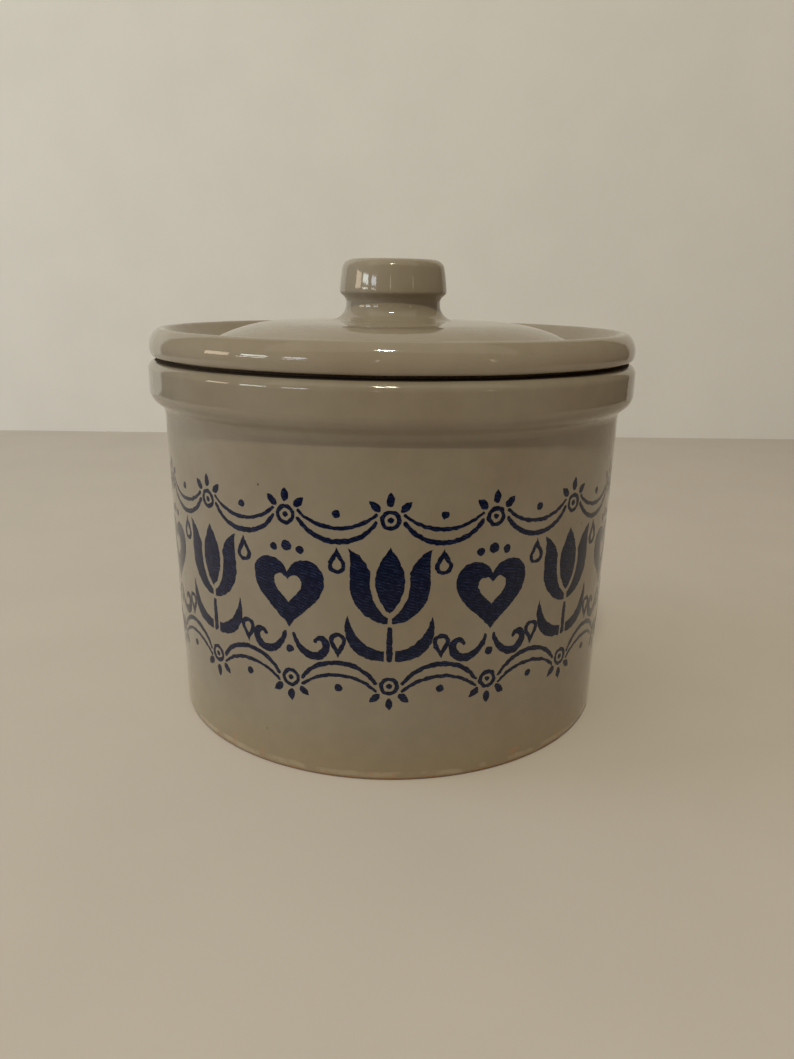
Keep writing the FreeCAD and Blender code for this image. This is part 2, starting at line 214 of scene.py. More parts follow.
class Nodes:
    """A node tree that is built node by node. An input is given by its name or number."""

    def __init__(self, tree):
        self.tree = tree

    def feed(self, socket, value):
        """Sets an input, or links it where the value is another node's output."""
        if isinstance(value, bpy.types.NodeSocket):
            self.tree.links.new(value, socket)
        else:
            socket.default_value = value

    def add(self, kind, inputs=None, **settings):
        """Adds a node and gives its outputs."""
        node = self.tree.nodes.new(kind)
        for name, value in settings.items():
            setattr(node, name, value)
        for key, value in (inputs or {}).items():
            self.feed(node.inputs[key], value)
        return node.outputs

    def math(self, operation, *values):
        return self.add("ShaderNodeMath", dict(enumerate(values)), operation=operation)[0]

    def plus(self, first, second):
        return self.math("ADD", first, second)

    def times(self, first, second):
        return self.math("MULTIPLY", first, second)

    def ramp(self, value, low, high, to_low=0.0, to_high=1.0):
        """Maps low..high smoothly to to_low..to_high."""
        inputs = {"Value": value, "From Min": low, "From Max": high,
                  "To Min": to_low, "To Max": to_high}
        return self.add("ShaderNodeMapRange", inputs, interpolation_type="SMOOTHSTEP")[0]

    def between(self, value, low, high, blur):
        """1 from low to high, falling to 0 over the blur outside."""
        return self.times(self.ramp(value, low - blur, low),
                          self.ramp(value, high, high + blur, 1.0, 0.0))

    def vector(self, x, y, z):
        return self.add("ShaderNodeCombineXYZ", {"X": x, "Y": y, "Z": z})[0]

    def parts(self, vector):
        """A vector's X, Y and Z."""
        return self.add("ShaderNodeSeparateXYZ", {"Vector": vector})

    def scaled(self, vector, factor):
        return self.add("ShaderNodeVectorMath", {"Vector": vector, "Scale": factor},
                        operation="SCALE")[0]

    def together(self, first, second):
        """The sum of two vectors."""
        return self.add("ShaderNodeVectorMath", {0: first, 1: second}, operation="ADD")[0]

    def noise(self, place, size, detail=2.0):
        """Noise whose features are about the given size in metres."""
        inputs = {"Vector": place, "Scale": 1 / size, "Detail": detail}
        return self.add("ShaderNodeTexNoise", inputs)[0]

    def seeded_noise(self, place, size, seed):
        """Noise, as a number and as a colour, whose size and seed are other nodes' outputs."""
        inputs = {"Vector": place, "W": seed, "Scale": self.math("DIVIDE", 1.0, size),
                  "Detail": 1.0}
        return self.add("ShaderNodeTexNoise", inputs, noise_dimensions="4D")

    def clouds(self, place, size, low, high, most=1.0, detail=2.0):
        """Patches of about a size, from 0 where the noise is low to most where it is high."""
        return self.ramp(self.noise(place, size, detail), low, high, 0.0, most)

    def blend(self, factor, first, second):
        """Mixes two colours."""
        first, second = (
            value if isinstance(value, bpy.types.NodeSocket) else (*value, 1)
            for value in (first, second)
        )
        # a Mix node's colours are its inputs 6 and 7 and its output 2
        return self.add("ShaderNodeMix", {"Factor": factor, 6: first, 7: second},
                        data_type="RGBA")[2]

    def of_points(self, name):
        """The Index, Position or Normal of each point of a geometry."""
        return self.add(f"GeometryNodeInput{name}")[0]

    def store(self, geometry, name, value, kind="FLOAT_VECTOR"):
        """Keeps a value on the points of a geometry under a name."""
        inputs = {"Geometry": geometry, "Name": name, "Value": value}
        return self.add("GeometryNodeStoreNamedAttribute", inputs,
                        data_type=kind, domain="POINT")[0]

    def stored(self, name, kind="FLOAT_VECTOR"):
        return self.add("GeometryNodeInputNamedAttribute", {"Name": name}, data_type=kind)[0]

    def move(self, geometry, **where):
        """Sets the points' Position, or moves them by an Offset."""
        return self.add("GeometryNodeSetPosition", {"Geometry": geometry, **where})[0]

    def weld(self, geometry):
        return self.add("GeometryNodeMergeByDistance",
                        {"Geometry": geometry, "Distance": WELD})[0]


def new_object(name, data):
    """A new object in the scene."""
    made = bpy.data.objects.new(name, data)
    bpy.context.scene.collection.objects.link(made)
    return made


def new_geometry_tree(name, sockets):
    """A geometry tree with a Geometry input and output and the given named inputs."""
    tree = bpy.data.node_groups.new(name, "GeometryNodeTree")
    tree.is_modifier = True
    tree.interface.new_socket("Geometry", in_out="INPUT", socket_type="NodeSocketGeometry")
    for title, kind in sockets.items():
        tree.interface.new_socket(title, in_out="INPUT", socket_type=f"NodeSocket{kind}")
    tree.interface.new_socket("Geometry", in_out="OUTPUT", socket_type="NodeSocketGeometry")
    nodes = Nodes(tree)
    return nodes, nodes.add("NodeGroupInput")


def end_geometry_tree(nodes, geometry, material):
    realized = nodes.add("GeometryNodeRealizeInstances", {"Geometry": geometry})[0]
    painted = nodes.add("GeometryNodeSetMaterial", {"Geometry": realized, "Material": material})[0]
    nodes.add("NodeGroupOutput", {"Geometry": painted})
    return nodes.tree


def run_geometry_tree(piece, tree, values):
    """Gives the piece the tree's result as its own plain mesh."""
    modifier = piece.modifiers.new(tree.name, "NODES")
    modifier.node_group = tree
    identifiers = {
        item.name: item.identifier
        for item in tree.interface.items_tree
        if item.item_type == "SOCKET" and item.in_out == "INPUT"
    }
    for name, value in values.items():
        modifier[identifiers[name]] = value
    depsgraph = bpy.context.evaluated_depsgraph_get()
    mesh = bpy.data.meshes.new_from_object(piece.evaluated_get(depsgraph), depsgraph=depsgraph)
    piece.modifiers.remove(modifier)
    if not mesh.polygons:
        raise RuntimeError(f"{piece.name} came out empty")
    # a grid node leaves an empty first material slot
    mesh.materials.clear()
    mesh.materials.append(values["Material"])
    mesh.polygons.foreach_set("material_index", [0] * len(mesh.polygons))
    mesh.name = piece.name
    piece.data = mesh


def turning_tree():
    """Turns a section round the Z axis, with the slight waves of a thrown and glazed surface."""
    nodes, given = new_geometry_tree("turned_pot", {
        "Sides": "Int", "Wave Height": "Float", "Wave Size": "Float", "Wave Seed": "Float",
        "Calm Below": "Float", "Calm Blur": "Float", "Material": "Material",
    })
    count = nodes.add("GeometryNodeAttributeDomainSize", {"Geometry": given["Geometry"]},
                      component="MESH")["Point Count"]
    columns = nodes.plus(given["Sides"], 1.0)
    grid = nodes.add("GeometryNodeMeshGrid", {"Vertices X": columns, "Vertices Y": count})["Mesh"]
    index = nodes.of_points("Index")
    row = nodes.math("FLOORED_MODULO", index, count)
    column = nodes.math("FLOOR", nodes.math("DIVIDE", index, count))
    position = nodes.of_points("Position")
    section_point = nodes.add(
        "GeometryNodeSampleIndex",
        {"Geometry": given["Geometry"], "Value": position, "Index": row},
        data_type="FLOAT_VECTOR", domain="POINT",
    )[0]
    angle = nodes.times(nodes.math("DIVIDE", column, given["Sides"]), FULL_TURN)
    placed = nodes.add("ShaderNodeVectorRotate", {"Vector": section_point, "Angle": angle},
                       rotation_type="Z_AXIS")[0]
    surface = nodes.weld(nodes.move(grid, Position=placed))

    wave = nodes.seeded_noise(position, given["Wave Size"], given["Wave Seed"])[0]
    _, _, height = nodes.parts(position)
    calm_top = nodes.plus(given["Calm Below"], given["Calm Blur"])
    awake = nodes.ramp(height, given["Calm Below"], calm_top)
    sink = nodes.times(wave, nodes.times(awake, given["Wave Height"]))
    offset = nodes.scaled(nodes.of_points("Normal"), nodes.times(sink, -1.0))
    surface = nodes.move(surface, Offset=offset)
    smooth = nodes.add("GeometryNodeSetShadeSmooth", {"Geometry": surface})[0]
    return end_geometry_tree(nodes, smooth, given["Material"])


def wrapping_tree():
    """Repeats a flat motif round the wall, and gives it a thickness that is rooted in the wall."""
    nodes, given = new_geometry_tree("wrapped_print", {
        "Wall": "Object", "Wall Radius": "Float", "Count": "Int", "Start": "Float",
        "Height": "Float", "Proud": "Float", "Rooted": "Float", "Raggedness": "Float",
        "Raggedness Size": "Float", "Material": "Material",
    })
    position = nodes.of_points("Position")
    stations = nodes.add("GeometryNodeMeshLine", {"Count": given["Count"]})[0]
    numbered = nodes.store(stations, "station", nodes.of_points("Index"), "FLOAT")
    instances = nodes.add("GeometryNodeInstanceOnPoints",
                          {"Points": numbered, "Instance": given["Geometry"]})[0]
    motifs = nodes.add("GeometryNodeRealizeInstances", {"Geometry": instances})[0]
    # the line's stations are a metre apart up the Z axis, so X and Y are still a point's place in
    # its motif, and Z gives each motif its own noise
    station = nodes.stored("station", "FLOAT")
    further = nodes.vector(0.0, 0.0, station)
    motifs = nodes.store(motifs, "print_map", nodes.together(position, further))

    wander = nodes.seeded_noise(position, given["Raggedness Size"], station)[1]
    # the noise runs from 0 to 1, and its middle moves nothing
    wander = nodes.together(wander, (-0.5, -0.5, -0.5))
    ragged = nodes.together(position, nodes.scaled(wander, given["Raggedness"]))
    across, up, _ = nodes.parts(ragged)
    turned = nodes.math("DIVIDE", nodes.plus(station, given["Start"]), given["Count"])
    angle = nodes.plus(nodes.times(turned, FULL_TURN),
                       nodes.math("DIVIDE", across, given["Wall Radius"]))
    outwards = nodes.vector(nodes.math("SINE", angle),
                            nodes.times(nodes.math("COSINE", angle), -1.0), 0.0)
    height = nodes.vector(0.0, 0.0, nodes.plus(up, given["Height"]))
    outside = nodes.times(given["Wall Radius"], 2.0)
    wall = nodes.add("GeometryNodeObjectInfo", {"Object": given["Wall"]},
                     transform_space="ORIGINAL")["Geometry"]
    ray = nodes.add("GeometryNodeRaycast", {
        "Target Geometry": wall,
        "Attribute": nodes.of_points("Normal"),
        "Source Position": nodes.together(nodes.scaled(outwards, outside), height),
        "Ray Direction": nodes.scaled(outwards, -1.0),
        "Ray Length": outside,
    }, data_type="FLOAT_VECTOR")
    motifs = nodes.store(motifs, "wall_normal", ray["Attribute"])
    motifs = nodes.store(motifs, "outwards", outwards)
    inner = nodes.scaled(outwards, nodes.times(given["Rooted"], -1.0))
    base = nodes.move(motifs, Position=nodes.together(ray["Hit Position"], inner))
    raised = nodes.add("GeometryNodeExtrudeMesh", {
        "Mesh": base,
        "Offset": nodes.stored("outwards"),
        "Offset Scale": nodes.plus(given["Rooted"], given["Proud"]),
        "Individual": False,
    }, mode="FACES")["Mesh"]
    back = nodes.add("GeometryNodeFlipFaces", {"Mesh": base})[0]
    join = nodes.tree.nodes.new("GeometryNodeJoinGeometry")
    for part in (raised, back):
        nodes.feed(join.inputs[0], part)
    return end_geometry_tree(nodes, nodes.weld(join.outputs[0]), given["Material"])


# Sections

# points of a section closer than this are one
SAME_POINT = 1e-7
# the steps along a section and round the axis
ARC_STEP = math.radians(7)
LINE_STEP = 0.0025
LONGEST_EDGE = LINE_STEP * 1.2
SIDES = 360
# the height over which the waves set in above a calm foot
CALM_BLUR = 0.004
# how far up the knob's side its swell lies
SWELL_AT = 0.4
# the rounding at the locating ring's root, as a share of the stretch that it replaces
ROOT_ROUND = 0.9


def foot_radius(size):
    """The outside of the foot."""
    return size.band_radius - size.band_projection - size.wall_flare


def wall_radius(size):
    """The wall's radius halfway between the foot and the band."""
    return foot_radius(size) + size.wall_flare / 2


def arc_points(centre, first, last, clockwise):
    """Points from first to last round a circle, both included."""
    start = math.atan2(first.y - centre.y, first.x - centre.x)
    end = math.atan2(last.y - centre.y, last.x - centre.x)
    sweep = (end - start) % FULL_TURN
    if clockwise:
        sweep -= FULL_TURN
    radius = (first - centre).length
    steps = max(2, math.ceil(abs(sweep) / ARC_STEP), math.ceil(abs(sweep) * radius / LINE_STEP))
    angles = [start + sweep * step / steps for step in range(steps + 1)]
    return [centre + Vector((math.cos(a), math.sin(a))) * radius for a in angles]


def rounded(corners):
    """Joins corners, each (radius from the axis, height, rounding), by lines and arcs."""
    points = [Vector(corners[0][:2])]
    for before, corner, after in zip(corners, corners[1:], corners[2:]):
        here = Vector(corner[:2])
        back = (Vector(before[:2]) - here).normalized()
        ahead = (Vector(after[:2]) - here).normalized()
        if not corner[2]:
            points.append(here)
            continue
        half = back.angle(ahead) / 2
        reach = corner[2] / math.tan(half)
        centre = here + (back + ahead).normalized() * (corner[2] / math.sin(half))
        first = here + back * reach
        last = here + ahead * reach
        clockwise = back.cross(ahead) > 0
        points += arc_points(centre, first, last, clockwise)
    points.append(Vector(corners[-1][:2]))
    return points


def crock_section(size):
    """The crock from the middle of its underside, up the outside and down to its floor."""
    wall_top = size.band_radius - size.band_projection
    foot = foot_radius(size)
    ring = foot - size.foot_ring
    slope_top = size.height - size.band_height
    return rounded([
        (0, size.foot_recess, 0),
        (ring, size.foot_recess, 0),
        (ring, 0, size.foot_ring_round),
        (foot, 0, size.foot_round),
        (wall_top, slope_top - size.band_slope, size.cove_round),
        (size.band_radius, slope_top, size.band_round),
        (size.band_radius, size.height, size.rim_round),
        (wall_top - size.wall, size.height, size.mouth_round),
        (foot - size.wall, size.floor, size.floor_round),
        (0, size.floor, 0),
    ])


def lid_top_section(size):
    """The edge's lowest point, and the outline above it, over the crest to the dome."""
    edge_centre = Vector((size.radius - size.edge_round, size.edge_height))
    crest_rise = size.crest_height - size.crest_round - size.edge_height
    crest_reach = size.edge_round - size.crest_round
    crest_side = math.sqrt(crest_reach**2 - crest_rise**2)
    crest_centre = edge_centre + Vector((crest_side, crest_rise))

    slope = math.radians(45)
    off_slope = Vector((-math.sin(slope), math.cos(slope)))
    channel_y = size.channel_height + size.channel_round
    both_rounds = size.crest_round + size.channel_round
    channel_x = math.cos(slope) * channel_y - off_slope.dot(crest_centre) - both_rounds
    channel_centre = Vector((channel_x / math.sin(slope), channel_y))

    dome_centre = Vector((0, size.dome_height - size.dome_round))
    shoulder_x = size.radius - size.shoulder_width
    shoulder_y = dome_centre.y + math.sqrt(size.dome_round**2 - shoulder_x**2)
    shoulder = Vector((shoulder_x, shoulder_y))
    outwards = (shoulder - dome_centre).normalized()
    across = shoulder - channel_centre
    fall_round = (across.length**2 - size.channel_round**2) / (
        2 * (across.dot(outwards) + size.channel_round)
    )
    fall_centre = shoulder - outwards * fall_round

    def touch(centre, other, radius):
        """Where two touching circles meet, radius being the first one's."""
        return centre + (other - centre).normalized() * radius

    edge_drop = size.edge_height - size.gap_height
    lowest = edge_centre + Vector((math.sqrt(size.edge_round**2 - edge_drop**2), -edge_drop))
    trimmed = math.asin(edge_drop / size.edge_round) - size.edge_under / size.edge_round
    edge_start = edge_centre + Vector((math.cos(trimmed), -math.sin(trimmed))) * size.edge_round
    crest_start = touch(edge_centre, crest_centre, size.edge_round)
    slope_top = crest_centre + off_slope * size.crest_round
    slope_bottom = channel_centre - off_slope * size.channel_round
    channel_end = touch(channel_centre, fall_centre, size.channel_round)
    neck_foot = size.neck_radius + size.neck_flare * 2
    dome_end = Vector((neck_foot, dome_centre.y + math.sqrt(size.dome_round**2 - neck_foot**2)))
    outline = [
        *arc_points(edge_centre, edge_start, crest_start, clockwise=False)[:-1],
        *arc_points(crest_centre, crest_start, slope_top, clockwise=False),
        *arc_points(channel_centre, slope_bottom, channel_end, clockwise=True)[:-1],
        *arc_points(fall_centre, channel_end, shoulder, clockwise=False)[:-1],
        *arc_points(dome_centre, shoulder, dome_end, clockwise=False),
    ]
    return lowest, outline


def lid_section(size):
    """The lid from the middle of its underside, round its edge and up to the knob's top."""
    rim = crock_high.z
    ring_inner = size.ring_outer - size.ring_width
    ring_bottom = lid_low.z - rim
    hollow_round = (ring_inner**2 + size.hollow_height**2) / (2 * size.hollow_height)
    hollow_centre = Vector((0, size.hollow_height - hollow_round))
    hollow_top = Vector((0, size.hollow_height))
    hollow_edge = Vector((ring_inner, 0))
    hollow = arc_points(hollow_centre, hollow_top, hollow_edge, clockwise=True)
    lowest, top = lid_top_section(size)
    land = size.radius - size.gap_depth

    neck_top = size.dome_height + size.neck_height
    lip = neck_top + size.undercut_rise
    knob_top = lid_high.z - rim - size.knob_crown
    top_radius = size.knob_radius - size.knob_taper
    swell = Vector((size.knob_radius, lip)).lerp(Vector((top_radius, knob_top)), SWELL_AT)
    corners = [
        *((point.x, point.y, 0) for point in hollow if ring_inner - point.x > size.ring_root),
        (ring_inner, 0, size.ring_root * ROOT_ROUND),
        (ring_inner, ring_bottom, size.ring_round),
        (size.ring_outer, ring_bottom, size.ring_round),
        (size.ring_outer, 0, 0),
        (land, 0, 0),
        (land, size.gap_height, 0),
        (lowest.x, lowest.y, size.edge_under),
        *((point.x, point.y, 0) for point in top),
        (size.neck_radius, size.dome_height, size.neck_flare),
        (size.neck_radius, neck_top, size.undercut_round),
        (size.knob_radius, lip, size.knob_lip_round),
        (swell.x + size.knob_bulge, swell.y, size.knob_side_round),
        (top_radius, knob_top, size.knob_top_round),
        (0, lid_high.z - rim, 0),
    ]
    return [Vector((point.x, point.y + rim)) for point in rounded(corners)]


def even_out(points):
    """Divides the long straight stretches of a section, so that its waves can follow."""
    divided = [points[0]]
    for point in points[1:]:
        gap = (point - divided[-1]).length
        if gap < SAME_POINT:
            continue
        steps = math.ceil(gap / LONGEST_EDGE)
        divided += [divided[-1].lerp(point, step / steps) for step in range(1, steps + 1)]
    return divided


def turned_piece(name, section, material, seed, calm_below):
    """A new object with a section turned round the Z axis."""
    points = even_out(section)
    mesh = bpy.data.meshes.new(name)
    edges = [(number, number + 1) for number in range(len(points) - 1)]
    mesh.from_pydata([(point.x, 0, point.y) for point in points], edges, [])
    piece = new_object(name, mesh)
    glaze = bpy.context.scene.snack_jar.glaze
    run_geometry_tree(piece, turning_tree(), {
        "Sides": SIDES,
        "Wave Height": glaze.wave_height,
        "Wave Size": glaze.wave_size,
        "Wave Seed": seed,
        "Calm Below": calm_below,
        "Calm Blur": CALM_BLUR,
        "Material": material,
    })
    return piece


# Motifs, drawn flat in millimetres: X runs along the wall and Y up it

# the steps along an outline and round a stroke's end, and the width of a mesh's upright slices
OUTLINE_STEP = 0.45
CAP_STEPS = 6
SLICE_WIDTH = 1.5
# from the middle of a garland's ring to the ends of its swags
SWAG_CLEARANCE = 3.4


def bezier(start, *bends):
    """Points along joined curves, each bend being (first handle, second handle, end)."""
    points = [Vector(start)]
    for first, second, end in bends:
        ends = points[-1], Vector(first), Vector(second), Vector(end)
        reach = sum((b - a).length for a, b in zip(ends, ends[1:]))
        steps = max(4, math.ceil(reach / OUTLINE_STEP))
        points += [Vector(p) for p in interpolate_bezier(*ends, steps + 1)[1:]]
    return points


def disc(x, y, radius):
    steps = max(12, math.ceil(FULL_TURN * radius / OUTLINE_STEP))
    turns = [FULL_TURN * step / steps for step in range(steps)]
    return [Vector((x + radius * math.cos(a), y + radius * math.sin(a))) for a in turns]


def flip(points):
    """The mirror image of an outline, left to right."""
    return [Vector((-point.x, point.y)) for point in reversed(points)]


def both_sides(right_half):
    """A closed outline from its right half, whose ends lie on the middle line."""
    return right_half + flip(right_half)[1:-1]


def stroke(line, width, thin=1.0):
    """A brush stroke along a line, with round ends that are thin times as wide as its middle."""
    left, right = [], []
    last = len(line) - 1
    for number, point in enumerate(line):
        ahead = line[min(number + 1, last)] - line[max(number - 1, 0)]
        side = Vector((-ahead.y, ahead.x)).normalized()
        swell = math.sin(math.pi * number / last)
        half = width / 2 * (thin + (1 - thin) * swell)
        left.append(point + side * half)
        right.append(point - side * half)

    def cap(centre, start):
        """A half circle from one side of the stroke to the other, round its end."""
        spoke = start - centre
        turns = [math.pi * step / CAP_STEPS for step in range(1, CAP_STEPS)]
        return [centre + Matrix.Rotation(-turn, 2) @ spoke for turn in turns]

    return left + cap(line[-1], left[-1]) + right[::-1] + cap(line[0], right[0])


def reshaped(shapes, change):
    """The shapes with each of their outlines changed."""
    return [[change(loop) for loop in loops] for loops in shapes]


def enlarged(shapes, times):
    return reshaped(shapes, lambda loop: [point * times for point in loop])


def turn(points, degrees):
    spin = Matrix.Rotation(math.radians(degrees), 2)
    return [spin @ point for point in points]


def tulip():
    """A three-petalled tulip on a stem with two curled leaves."""
    middle = both_sides(bezier(
        (0, -1.9),
        ((1.9, -0.6), (3.9, 3.6), (3.3, 7.4)),
        ((2.9, 10.0), (1.3, 12.2), (0, 14.2)),
    ))
    petal = bezier(
        (0.55, -3.0),
        ((3.2, -1.2), (5.3, 3.4), (4.4, 7.9)),
        ((5.2, 10.2), (7.0, 12.6), (9.6, 13.6)),
        ((8.2, 10.0), (10.6, 4.4), (8.0, 0.2)),
        ((6.4, -2.6), (3.4, -4.5), (0.55, -4.5)),
    )
    leaf = bezier(
        (1.35, -11.4),
        ((5.2, -11.0), (8.4, -8.6), (9.9, -2.6)),
        ((12.0, -8.8), (8.6, -14.2), (1.35, -14.0)),
    )
    stem = both_sides(bezier(
        (0, -14.2),
        ((0.5, -14.2), (0.75, -13.8), (0.8, -13.2)),
        ((0.8, -10.6), (0.6, -7.4), (0.5, -5.5)),
        ((0.3, -5.3), (0.1, -5.3), (0, -5.3)),
    ))
    parts = middle, petal, flip(petal), leaf, flip(leaf), stem
    return enlarged([[part] for part in parts], 1.05)


def heart():
    """A heart with an open heart in it, on two scrolls and under three berries."""
    def outline(size, lift):
        right = bezier(
            (0, -8.6),
            ((1.6, -5.2), (8.9, -2.0), (8.9, 3.6)),
            ((8.9, 6.6), (6.8, 8.2), (4.6, 8.2)),
            ((2.4, 8.2), (0.7, 6.9), (0, 5.0)),
        )
        return both_sides([Vector((p.x * size, p.y * size + lift)) for p in right])

    scroll = stroke(bezier(
        (1.1, -8.7),
        ((2.2, -13.2), (7.2, -15.4), (9.0, -11.6)),
        ((9.9, -9.2), (7.4, -7.9), (6.5, -9.9)),
    ), 2.1, thin=0.45)
    berries = [disc(0, 12.6, 1.25), disc(3.3, 12.0, 0.95), disc(-3.3, 12.0, 0.95)]
    seed = disc(0, -12.6, 1.05)
    body = [outline(size=1, lift=1.4), outline(size=0.4, lift=2.4)]
    shapes = [body, [scroll], [flip(scroll)], [seed], *([berry] for berry in berries)]
    return enlarged(shapes, 1.08)


def garland(pitch):
    """A garland's ring with its crown of feathers, and the swag and drop on its right."""
    ring = [disc(0, 0, 2.5), disc(0, 0, 1.5)]
    middle = pitch / 2
    start, end = SWAG_CLEARANCE, pitch - SWAG_CLEARANCE

    def swag(height, sag, reach, width, thin):
        bend = (start + reach, sag), (end - reach, sag), (end, height)
        return stroke(bezier((start, height), bend), width, thin)

    lower = swag(-0.7, -7.4, 4.4, width=1.3, thin=0.75)
    upper = swag(1.3, -3.6, 5.2, width=1.0, thin=0.8)

    def tear(size, lift):
        right = bezier(
            (0, -6.9),
            ((1.4, -6.9), (2.2, -6.0), (2.2, -4.9)),
            ((2.2, -3.3), (0.7, -2.1), (0, -0.2)),
        )
        return [Vector((middle + p.x * size, p.y * size + lift)) for p in both_sides(right)]

    drop = [tear(size=1, lift=-6.9), tear(size=0.5, lift=-9.3)]
    bead = disc(middle, 1.1, 1.0)
    feather = both_sides(bezier(
        (0, 3.2),
        ((0.9, 3.5), (1.15, 4.6), (0.85, 5.4)),
        ((0.6, 6.0), (0.3, 6.4), (0, 6.7)),
    ))
    crown = [[turn(feather, degrees)] for degrees in (-48, 0, 48)]
    return [ring, [disc(0, 0, 0.72)], [lower], [upper], drop, [bead], *crown]


def flat_mesh(name, shapes):
    """A flat mesh of closed shapes, sliced upright so that it can bend round the wall."""
    sheet = bmesh.new()
    for loops in shapes:
        edges = []
        for loop in loops:
            corners = [sheet.verts.new((point.x, point.y, 0)) for point in loop]
            edges += [sheet.edges.new(pair) for pair in zip(corners, corners[1:] + corners[:1])]
        bmesh.ops.triangle_fill(sheet, use_beauty=True, edges=edges, normal=(0, 0, 1))
    low = min(corner.co.x for corner in sheet.verts)
    high = max(corner.co.x for corner in sheet.verts)
    slices = math.ceil((high - low) / SLICE_WIDTH)
    for number in range(1, slices):
        cut = low + (high - low) * number / slices
        everything = sheet.verts[:] + sheet.edges[:] + sheet.faces[:]
        bmesh.ops.bisect_plane(sheet, geom=everything, dist=0.01, plane_co=(cut, 0, 0),
                               plane_no=(1, 0, 0))
    bmesh.ops.scale(sheet, vec=(MM, MM, MM), verts=sheet.verts)
    for face in sheet.faces:
        face.normal_update()
        if face.normal.z < 0:
            face.normal_flip()
    mesh = bpy.data.meshes.new(name)
    sheet.to_mesh(mesh)
    sheet.free()
    return mesh


def printed_piece(name, shapes, start, height, material):
    """A new object with a motif repeated round the crock's wall."""
    jar = bpy.context.scene.snack_jar
    piece = new_object(name, flat_mesh(name, shapes))
    run_geometry_tree(piece, wrapping_tree(), {
        "Wall": bpy.data.objects["crock_glazed"],
        "Wall Radius": wall_radius(jar.crock),
        "Count": jar.border.repeats,
        "Start": start,
        "Height": height,
        "Proud": jar.border.proud,
        "Rooted": jar.border.rooted,
        "Raggedness": jar.border.raggedness,
        "Raggedness Size": jar.border.raggedness_size,
        "Material": material,
    })
    # the print lies under the glaze, so it takes the wall's shading
    normals = [0.0] * (3 * len(piece.data.vertices))
    piece.data.attributes["wall_normal"].data.foreach_get("vector", normals)
    piece.data.normals_split_custom_set_from_vertices(
        [normals[at:at + 3] for at in range(0, len(normals), 3)]
    )
    return piece


# Materials

# the size, detail, height and strength of the glaze's ripple and of its finer orange peel
RIPPLE = 0.0060, 2.0, 0.00011, 0.6
ORANGE_PEEL = 0.0011, 1.0, 0.000004, 0.5
# how far the edge of the bare foot and the edges of the lid's seat wander
FOOT_WANDER = 0.0016
SEAT_WANDER = 0.0008
# the heights between which the foot's warm tone fades, and how far they wander
WARM_FADE = 0.008, 0.026
WARM_WANDER = 0.014
# how far in from the foot's edge the marks of its outside begin, and are whole
OUTSIDE_FADE = 0.003, 0.0015
# the specks lie one to a cell, and a share of the cells has none
SPECK_CELLS_PER_METRE = 95.0
SPECKLESS_CELLS = 0.72


def new_material(name):
    """A material, its nodes, its shader's inputs and the place on the object."""
    material = bpy.data.materials.new(name)
    material.use_nodes = True
    nodes = Nodes(material.node_tree)
    shader = nodes.tree.nodes["Principled BSDF"].inputs
    return material, nodes, shader, nodes.add("ShaderNodeTexCoord")["Object"]


def shaded(tone, brightness):
    return [value * brightness for value in tone]


def glaze_surface(nodes, shader, place, bare=None):
    """The glaze's gloss and bumps. Bare clay is rough."""
    glaze = bpy.context.scene.snack_jar.glaze
    smoothest, roughest = glaze.roughness * 0.75, glaze.roughness * 1.5
    uneven = nodes.noise(place, size=0.006, detail=3.0)
    rough = nodes.ramp(uneven, low=0.3, high=0.75, to_low=smoothest, to_high=roughest)
    if bare:
        rough = nodes.add("ShaderNodeMix",
                          {"Factor": bare, "A": rough, "B": glaze.clay_roughness})[0]
    nodes.feed(shader["Roughness"], rough)
    under = {}
    for size, detail, height, strength in (RIPPLE, ORANGE_PEEL):
        bump = nodes.add("ShaderNodeBump", {
            "Height": nodes.noise(place, size, detail), "Distance": height,
            "Strength": strength, **under,
        })[0]
        under = {"Normal": bump}
    nodes.feed(shader["Normal"], bump)


def seat_ring(crock):
    """The inner and outer radius of the bare ring where the lid rests on the rim."""
    mouth = crock.band_radius - crock.band_projection - crock.wall
    return mouth + crock.mouth_round, crock.band_radius - crock.rim_round


